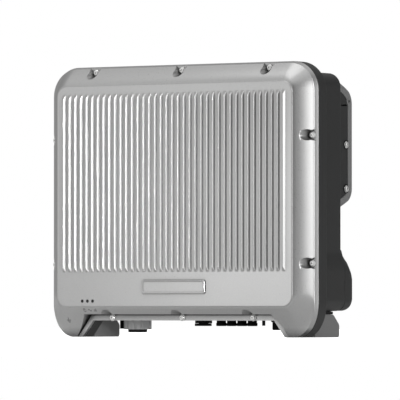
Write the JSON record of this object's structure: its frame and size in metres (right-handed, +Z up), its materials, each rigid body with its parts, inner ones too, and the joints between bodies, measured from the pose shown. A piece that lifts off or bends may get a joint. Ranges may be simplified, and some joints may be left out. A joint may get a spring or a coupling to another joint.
{
  "type": "string inverter",
  "caption": "Wall-hung three-phase string inverter: ribbed silver cast cover with feet, dark cast housing, rear heat sink in a grey wall bracket, connectors underneath.",
  "frame": {"origin": "centre of the bounding box at its lowest plane, on the surface the feet stand on", "axes": "+X to the right of the front, +Y to the wall, +Z up"},
  "size_m": [0.503, 0.183, 0.4346],
  "materials": {
    "silver_paint": "fine-grained metallic silver powder coat on cast aluminium",
    "dark_paint": "satin dark grey powder coat on cast aluminium",
    "grey_paint": "satin mid grey powder coat",
    "steel": "bright stainless steel screws",
    "rubber": "matt black sealing rubber",
    "black_plastic": "fine-textured black moulded plastic",
    "grey_plastic": "fine-textured grey moulded plastic",
    "light_pipe": "unlit clear light pipe over a dark board",
    "circuit_board": "green solder mask with pale tracks",
    "zinc_steel": "zinc plated sheet steel",
    "capacitor_sleeve": "shrunk dark blue sleeve",
    "copper": "enamelled copper winding",
    "terminal_plastic": "light grey terminal plastic",
    "black_steel": "black plated steel"
  },
  "bodies": {
    "inverter": {"front_cover": "silver_paint", "cover_gasket": "rubber", "foot_pad_left": "rubber", "foot_pad_right": "rubber", "cover_screw_1": "steel", "cover_screw_2": "steel", "cover_screw_3": "steel", "cover_screw_4": "steel", "cover_screw_5": "steel", "cover_screw_6": "steel", "cover_screw_7": "steel", "cover_screw_8": "steel", "cover_screw_9": "steel", "cover_screw_10": "steel", "bracket_screw_1": "steel", "bracket_screw_2": "steel", "bracket_screw_3": "steel", "bracket_screw_4": "steel", "rear_housing": "dark_paint", "choke_cover": "dark_paint", "heat_sink": "dark_paint", "wall_bracket": "grey_paint", "foot_left": "grey_paint", "foot_right": "grey_paint", "light_pipe_1": "light_pipe", "light_pipe_2": "light_pipe", "light_pipe_3": "light_pipe", "light_board": "circuit_board", "power_board": "circuit_board", "control_board": "circuit_board", "board_frame": "zinc_steel", "power_module_1": "black_plastic", "power_module_2": "black_plastic", "relay_1": "black_plastic", "relay_2": "black_plastic", "fan_frame": "black_plastic", "ac_seal_ring": "black_plastic", "dc_connector_1": "black_plastic", "dc_connector_2": "black_plastic", "dc_connector_3": "black_plastic", "dc_connector_4": "black_plastic", "comm_port": "black_plastic", "vent_plug": "black_plastic", "dc_switch_body": "black_plastic", "ac_socket": "black_plastic", "capacitor_1": "capacitor_sleeve", "capacitor_2": "capacitor_sleeve", "capacitor_3": "capacitor_sleeve", "capacitor_4": "capacitor_sleeve", "choke_1": "copper", "choke_2": "copper", "choke_3": "copper", "filter_choke": "copper", "terminal_block": "terminal_plastic", "earth_stud": "black_steel"},
    "switch_knob": {"dc_switch_knob": "black_plastic"},
    "ring_nut": {"ac_ring_nut": "grey_plastic"},
    "comm_cap_body": {"comm_cap": "black_plastic"},
    "fan_wheel": {"fan_rotor": "black_plastic"}
  },
  "joints": [
    {"name": "switch_turn", "type": "hinge", "parent": "inverter", "child": "switch_knob", "pos_m": [0.1498, 0.0125, 0.024], "axis": [0, 0, 1], "range_deg": [0, 90]},
    {"name": "ring_nut_turn", "type": "hinge", "parent": "inverter", "child": "ring_nut", "pos_m": [-0.134, 0.0125, 0.024], "axis": [0, 0, 1], "range_deg": [0, 60]},
    {"name": "comm_cap_pull", "type": "slide", "parent": "inverter", "child": "comm_cap_body", "axis": [0, 0, -1], "range_m": [0, 0.012]},
    {"name": "fan_spin", "type": "hinge", "parent": "inverter", "child": "fan_wheel", "pos_m": [0.172, 0.0045, 0.268], "axis": [0, 1, 0], "continuous": true}
  ]
}
